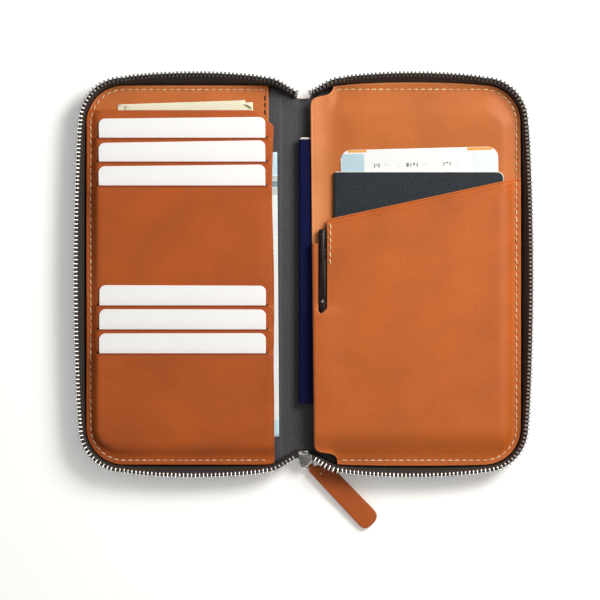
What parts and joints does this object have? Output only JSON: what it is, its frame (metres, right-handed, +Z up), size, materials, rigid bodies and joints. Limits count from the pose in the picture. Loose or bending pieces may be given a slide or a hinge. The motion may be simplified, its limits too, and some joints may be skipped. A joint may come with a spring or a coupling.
{
  "type": "travel document organizer",
  "caption": "Zip-around leather travel organizer, open flat: card slots and banknote pocket at left, passport pocket, pen slot and notebook pocket at right.",
  "frame": {"origin": "middle of the spine's outer face, where it lies on the table", "axes": "+X across the open width towards the passport pocket, +Y along the spine towards its top, +Z up out of the open inside"},
  "size_m": [0.2386, 0.2368, 0.0132],
  "materials": {
    "shell_leather": "smooth tan leather",
    "panel_leather": "smooth tan leather",
    "tab_leather": "smooth tan leather",
    "board": "pressed fibre board",
    "lining": "ribbed woven lining",
    "zip_tape": "woven tape",
    "zip_metal": "antique nickel",
    "slider_metal": "antique nickel",
    "thread": "waxed thread",
    "card_white": "satin",
    "banknote_paper": "paper",
    "ticket_paper": "paper",
    "pass_card": "thin card",
    "notebook_cloth": "twill cloth",
    "paper_edges": "paper",
    "passport_cloth": "textured cover",
    "pen_black": "satin",
    "pen_metal": "polished"
  },
  "bodies": {
    "left_half": {"outer_shell_left": "shell_leather", "left_board": "board", "left_lining": "lining", "left_back_panel": "panel_leather", "card_panel": "panel_leather", "card_pocket_upper": "lining", "card_pocket_lower": "lining", "left_zip_tape": "zip_tape", "left_zip_teeth": "zip_metal", "left_stitching": "thread"},
    "spine": {"outer_shell_spine": "shell_leather", "spine_lining": "lining", "zip_tape_ends": "zip_tape", "zip_teeth_ends": "zip_metal", "zip_top_stops": "zip_metal", "zip_bottom_stop": "zip_metal", "zip_slider": "slider_metal"},
    "right_half": {"outer_shell_right": "shell_leather", "right_board": "board", "right_lining": "lining", "right_inner_panel": "panel_leather", "passport_pocket": "panel_leather", "right_zip_tape": "zip_tape", "right_zip_teeth": "zip_metal", "right_stitching": "thread", "pocket_stitching": "thread"},
    "card_1": {"card_1": "card_white"},
    "card_2": {"card_2": "card_white"},
    "card_3": {"card_3": "card_white"},
    "card_4": {"card_4": "card_white"},
    "card_5": {"card_5": "card_white"},
    "card_6": {"card_6": "card_white"},
    "banknote_front": {"banknote_front": "banknote_paper"},
    "banknote_rear": {"banknote_rear": "banknote_paper"},
    "ticket": {"ticket": "ticket_paper"},
    "notebook": {"notebook_cover": "notebook_cloth", "notebook_pages": "paper_edges"},
    "boarding_pass": {"boarding_pass": "pass_card"},
    "passport": {"passport_cover": "passport_cloth", "passport_pages": "paper_edges"},
    "pen": {"pen_barrel": "pen_black", "pen_cap": "pen_black", "pen_clip": "pen_black", "pen_tip": "pen_metal"},
    "pull_ring": {"pull_ring": "slider_metal"},
    "pull_tab": {"pull_tab": "tab_leather", "pull_tab_stitches": "thread"}
  },
  "joints": [
    {"name": "left_fold", "type": "hinge", "parent": "left_half", "child": "spine", "pos_m": [-0.0076, 0, 0.0049], "axis": [0, -1, 0], "range_deg": [0, 90]},
    {"name": "right_fold", "type": "hinge", "parent": "spine", "child": "right_half", "pos_m": [0.0076, 0, 0.0049], "axis": [0, -1, 0], "range_deg": [0, 90]},
    {"name": "card_1_slide", "type": "slide", "parent": "left_half", "child": "card_1", "axis": [0, 0.9976, 0.0698], "range_m": [0, 0.014]},
    {"name": "card_2_slide", "type": "slide", "parent": "left_half", "child": "card_2", "axis": [0, 0.9976, 0.0698], "range_m": [0, 0.026]},
    {"name": "card_3_slide", "type": "slide", "parent": "left_half", "child": "card_3", "axis": [0, 0.9976, 0.0698], "range_m": [0, 0.038]},
    {"name": "card_4_slide", "type": "slide", "parent": "left_half", "child": "card_4", "axis": [0, 0.9976, 0.0698], "range_m": [0, 0.044]},
    {"name": "card_5_slide", "type": "slide", "parent": "left_half", "child": "card_5", "axis": [0, 0.9976, 0.0698], "range_m": [0, 0.044]},
    {"name": "card_6_slide", "type": "slide", "parent": "left_half", "child": "card_6", "axis": [0, 0.9976, 0.0698], "range_m": [0, 0.038]},
    {"name": "banknote_front_slide", "type": "slide", "parent": "left_half", "child": "banknote_front", "axis": [0, 1, 0], "range_m": [0, 0.004]},
    {"name": "banknote_rear_slide", "type": "slide", "parent": "left_half", "child": "banknote_rear", "axis": [0, 1, 0], "range_m": [0, 0.003]},
    {"name": "ticket_slide", "type": "slide", "parent": "left_half", "child": "ticket", "axis": [1, 0, 0], "range_m": [0, 0.005]},
    {"name": "notebook_slide", "type": "slide", "parent": "right_half", "child": "notebook", "axis": [1, 0, 0], "range_m": [0, 0.0174]},
    {"name": "boarding_pass_slide", "type": "slide", "parent": "right_half", "child": "boarding_pass", "axis": [0, 1, 0], "range_m": [0, 0.024]},
    {"name": "passport_slide", "type": "slide", "parent": "right_half", "child": "passport", "axis": [0, 1, 0], "range_m": [0, 0.036]},
    {"name": "pen_slide", "type": "slide", "parent": "right_half", "child": "pen", "axis": [0, 1, 0], "range_m": [0, 0.06]},
    {"name": "pull_swivel", "type": "hinge", "parent": "spine", "child": "pull_ring", "pos_m": [0.0008, -0.0954, 0.0032], "axis": [0, 0, 1], "range_deg": [-86, 0]},
    {"name": "pull_lift", "type": "hinge", "parent": "pull_ring", "child": "pull_tab", "pos_m": [0.004, -0.09884, 0.0032], "axis": [-0.7314, -0.682, 0], "range_deg": [0, 30]}
  ],
  "couplings": [
    {"joint": "right_fold", "follows": "left_fold", "ratio": 1},
    {"joint": "notebook_slide", "follows": "left_fold", "m_per_rad": 0.011}
  ]
}
